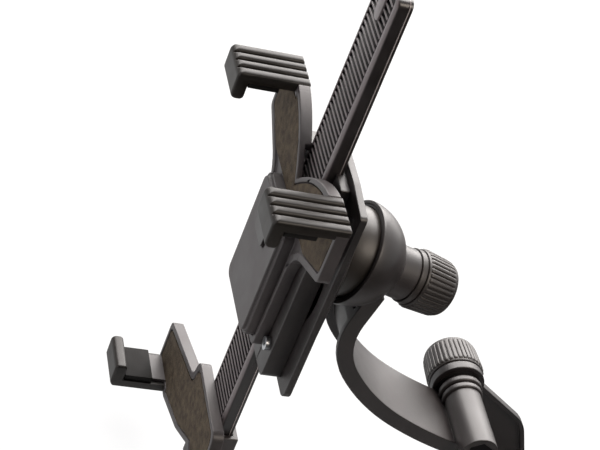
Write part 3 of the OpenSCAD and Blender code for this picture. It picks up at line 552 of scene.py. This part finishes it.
# Grips: caps of thermoplastic rubber pushed over the hard fingers, with four rounded ridges along
# their top and a smooth lip in front, and a soft dark pad under each finger. Moulded and matt,
# so they show broad highlights on the ridges and dark grooves between them.
cap_rubber = moulded_finish("grip_rubber_matt", "#161311", "#201c18", 0.42, 0.5, 0.025, gloss=0.36)
pad_rubber = moulded_finish("pad_rubber_matt", "#0c0b0a", "#12100f", 0.7, 0.5, 0.03, gloss=0.2)
cap_half_width = 10.0
cap_top = 7.1
ridge_height = 1.5
ridge_pitch = 5.0
socket_half_width = 8.1
side_radius = 1.1
lip_front, lip_inner, lip_end = -7.1, -1.7, -5.5
skirt_back, cap_back = 16.9, 22.5
finger_pad = Vector((18.6, 12.5, 2.4)) * MM
grips_y, lower_z = -182, 25.5  # the grips' place; lower_z is the line of the lower ones


def corner(before, tip, after, radius, steps):
    """Points of a rounded corner, each with the direction that points into the rubber."""
    tip, before, after = Vector(tip), Vector(before), Vector(after)
    u, v = (before - tip).normalized(), (after - tip).normalized()
    half = acos(max(-1, min(1, u.dot(v)))) / 2
    centre = tip + (u + v).normalized() * radius / sin(half)
    reach = radius * cos(half) / sin(half)
    start, end = tip + u * reach - centre, tip + v * reach - centre
    turn = atan2(start.x * end.y - start.y * end.x, start.dot(end))
    points = []
    for i in range(steps + 1):
        a = atan2(start.y, start.x) + turn * i / steps
        arm = Vector((cos(a), sin(a))) * radius
        points.append((centre + arm, -arm.normalized()))
    return points


def cap_outline():
    """The cap's outer outline from the back, over the top and round the lip, in y and z."""
    skirt_top, pad_top = 4.2, 4
    line = [(Vector((cap_back, skirt_top)), Vector((-1, 0)))]
    line += corner((cap_back, skirt_top), (cap_back, cap_top), (lip_front, cap_top), 1.2, 6)
    top_start, top_end = line[-1][0].x, lip_front + 3.0
    line += [(Vector((top_start + (top_end - top_start) * i / 12, cap_top)), Vector((0, -1)))
             for i in range(1, 12)]
    line += corner((cap_back, cap_top), (lip_front, cap_top), (lip_front, lip_end), 3.0, 14)
    line += corner((lip_front, cap_top), (lip_front, lip_end), (lip_inner, lip_end), 2.3, 8)
    line += corner((lip_front, lip_end), (lip_inner, lip_end), (lip_inner, pad_top), 1.8, 8)
    return line


def ridge_drop(x):
    """How far the top lies below the ridges' crests at x: rounded ridges with narrow grooves."""
    off = abs((x + cap_half_width) % ridge_pitch - ridge_pitch / 2)
    outside = abs(x) > cap_half_width - ridge_pitch / 2
    # The outer ridges are full width, the inner ones leave a groove on both sides
    half = 2.5 if outside else 1.95
    if off >= half:
        return ridge_height
    return ridge_height * (1 - sqrt(1 - (off / half) ** 2.6))


def cap_mesh(name, centre_x, upright):
    """One cap, lofted across its width. An upright one is the upper pair's, the other hangs."""
    stations = [-cap_half_width + 0.125 * i for i in range(161)]
    # The socket for the finger has a straight wall on each side
    stations += [s * (socket_half_width + d) for s in (-1, 1) for d in (-0.002, 0.002)]
    outline = cap_outline()
    rings = []
    for x in sorted(stations):
        over = max(0.0, abs(x) - (cap_half_width - side_radius))
        inset = 0.8 * (side_radius - sqrt(max(0.0, side_radius ** 2 - over ** 2)))
        crest = cap_top - ridge_drop(x)
        ring = []
        for point, inward in outline:
            y, z = point + inward * inset
            ring.append((y, min(z, crest)))
        lip, roof, back = (2.0, 4.3, 4.3) if abs(x) < socket_half_width else (0.4, 2.6, 4.2)
        ring += [(lip_inner - inset, lip), (lip_inner - inset, roof), (skirt_back, roof),
                 (skirt_back, back)]
        rings.append([(centre_x + x, grips_y + y, upper_z + z if upright else lower_z - z)
                      for y, z in ring])
    shape = loft(rings)
    bmesh.ops.remove_doubles(shape, verts=shape.verts, dist=0.0002 * MM)
    bmesh.ops.recalc_face_normals(shape, faces=shape.faces)
    return mesh_of(shape, name, 38)


for level, body, reach, height in (("upper", "head", 44, upper_z + 1.2),
                                   ("lower", "jaw", 60, lower_z - 1.2)):
    for side, sign in (("left", -1), ("right", 1)):
        grip = f"{level}_{side}_grip"
        place_piece(cap_mesh(grip + "_cap", sign * reach, level == "upper"), grip + "_cap",
                    cap_rubber, body, [grip])
        # The pad is a dark block round the finger's underside, seen below the cap's side
        block = bmesh.new()
        bmesh.ops.create_cube(block, size=1)
        block.transform(Matrix.Diagonal((*finger_pad, 1)))
        bmesh.ops.bevel(block, geom=block.edges, offset=0.35 * MM, segments=3, profile=0.5,
                        affect="EDGES")
        block.transform(at(sign * reach, grips_y + 4.75, height))
        place_piece(mesh_of(block, "soft_pad", 35), f"{level}_{side}_soft_pad", pad_rubber,
                    body, [f"{level}_{side}_pad"])

# Camera, lamps and ground: a long lens at the photograph's place, a large soft box above and
# to the right, a fill from the front, and white paper that fades out behind the holder.
lens = bpy.data.cameras.new("photo_camera")
lens.lens = 120
lens.sensor_width = 36
lens.sensor_fit = "HORIZONTAL"
lens.clip_start = 0.05
lens.clip_end = 20
camera = bpy.data.objects.new("photo_camera", lens)
bpy.context.scene.collection.objects.link(camera)
# The photograph's place and direction
right = Vector((0.1607, 0.9352, 0.3156)).normalized()
forward = Vector((-0.7514, 0.3232, -0.5752)).normalized()
up = right.cross(forward).normalized()
right = forward.cross(up)
turn = Matrix((right, up, -forward)).transposed().to_4x4()
camera.matrix_world = Matrix.Translation((0.57469, -0.40351, 0.6004)) @ turn
bpy.context.scene.camera = camera


def lamp(name, place, aim, size, watts, warm):
    """A rectangular soft box, its place, aim and size in metres."""
    data = bpy.data.lights.new(name, "AREA")
    data.shape = "RECTANGLE"
    data.size, data.size_y = size
    data.energy = watts
    data.color = warm
    thing = bpy.data.objects.new(name, data)
    thing.location = place
    thing.rotation_euler = (Vector(aim) - Vector(place)).to_track_quat("-Z", "Y").to_euler()
    bpy.context.scene.collection.objects.link(thing)


lamp("soft_box_above", (-1.1, 0.12, 1.15), (0, -0.1, 0.15), (2.0, 1.7), 75, (1, 0.955, 0.93))
lamp("soft_box_right", (0.85, 0.4, 1.15), (0, -0.1, 0.15), (0.7, 0.6), 9, (1, 0.88, 0.76))
lamp("soft_box_front", (0.1, -1.5, 0.7), (0, -0.1, 0.15), (0.9, 0.7), 6, (1, 0.95, 0.95))
lamp("soft_box_back", (-1.3, 1.0, 0.4), (0, -0.1, 0.12), (1.4, 0.8), 9, (1, 0.95, 0.92))

world = bpy.data.worlds.new("studio")
bpy.context.scene.world = world
world.use_nodes = True
air = world.node_tree
air.nodes.clear()
rays = add(air, "ShaderNodeLightPath")
seen = add(air, "ShaderNodeMath", {"operation": "MAXIMUM"}, Value=rays.outputs["Is Camera Ray"],
           Value_001=rays.outputs["Is Transmission Ray"])
# Shiny pieces see the backdrop bright behind them on the left and dark on the right
toward = add(air, "ShaderNodeVectorMath", {"operation": "DOT_PRODUCT"},
             Vector=add(air, "ShaderNodeTexCoord").outputs["Generated"],
             Vector_001=(-0.75, 0.66, 0.0))
side = add(air, "ShaderNodeMapRange", Value=toward.outputs["Value"], From_Min=-0.2, From_Max=0.9,
           To_Min=0.06, To_Max=1.0)
around = add(air, "ShaderNodeMix", {"data_type": "FLOAT"},
             Factor_Float=rays.outputs["Is Glossy Ray"], A_Float=0.16, B_Float=side.outputs[0])
strength = add(air, "ShaderNodeMapRange", Value=seen.outputs[0], To_Min=around.outputs[0],
               To_Max=1.0)
sky = add(air, "ShaderNodeBackground", Color=(1, 1, 1, 1), Strength=strength.outputs[0])
add(air, "ShaderNodeOutputWorld", Surface=sky.outputs[0])

paper, tree, place = finish_start("white_paper")
fibre = add(tree, "ShaderNodeTexNoise", Vector=place, Scale=400.0, Detail=3.0)
tone = add(tree, "ShaderNodeMix", {"data_type": "RGBA"}, Factor_Float=fibre.outputs["Fac"],
           A_Color=linear("#f6f6f6"), B_Color=linear("#fbfbfb"))
sheet = add(tree, "ShaderNodeBsdfPrincipled", Base_Color=tone.outputs["Result"], Roughness=0.9)
glow = add(tree, "ShaderNodeEmission", Color=(1, 1, 1, 1), Strength=1.0)
rays = add(tree, "ShaderNodeLightPath")
# The camera sees the paper almost white; shiny pieces see it dark behind them on the right
direct = add(tree, "ShaderNodeMath", {"operation": "MULTIPLY"}, Value=rays.outputs["Is Camera Ray"],
             Value_001=0.9)
spread = add(tree, "ShaderNodeSeparateXYZ", Vector=place)
across = add(tree, "ShaderNodeMath", {"operation": "MULTIPLY_ADD"}, Value=spread.outputs[1],
             Value_001=1.2, Value_002=spread.outputs[0])
shade = add(tree, "ShaderNodeMapRange", Value=across.outputs[0], From_Min=-0.5, From_Max=0.25,
            To_Min=0.9, To_Max=0.02)
mirrored = add(tree, "ShaderNodeMath", {"operation": "MULTIPLY"},
               Value=rays.outputs["Is Glossy Ray"], Value_001=shade.outputs[0])
dark = add(tree, "ShaderNodeEmission", Color=(1, 1, 1, 1), Strength=mirrored.outputs[0])
gloss_seen = add(tree, "ShaderNodeMixShader", Fac=rays.outputs["Is Glossy Ray"],
                 Shader=sheet.outputs[0], Shader_001=dark.outputs[0])
mixed = add(tree, "ShaderNodeMixShader", Fac=direct.outputs[0], Shader=gloss_seen.outputs[0],
            Shader_001=glow.outputs[0])
add(tree, "ShaderNodeOutputMaterial", Surface=mixed.outputs[0])
mesh = bpy.data.meshes.new("ground")
mesh.from_pydata([(x, y, -0.0005) for x, y in ((-3, -3), (3, -3), (3, 3), (-3, 3))], [],
                 [(0, 1, 2, 3)])
ground = bpy.data.objects.new("ground", mesh)
ground.data.materials.append(paper)
bpy.context.scene.collection.objects.link(ground)

bpy.context.scene.view_settings.view_transform = "Standard"

bpy.context.view_layer.update()
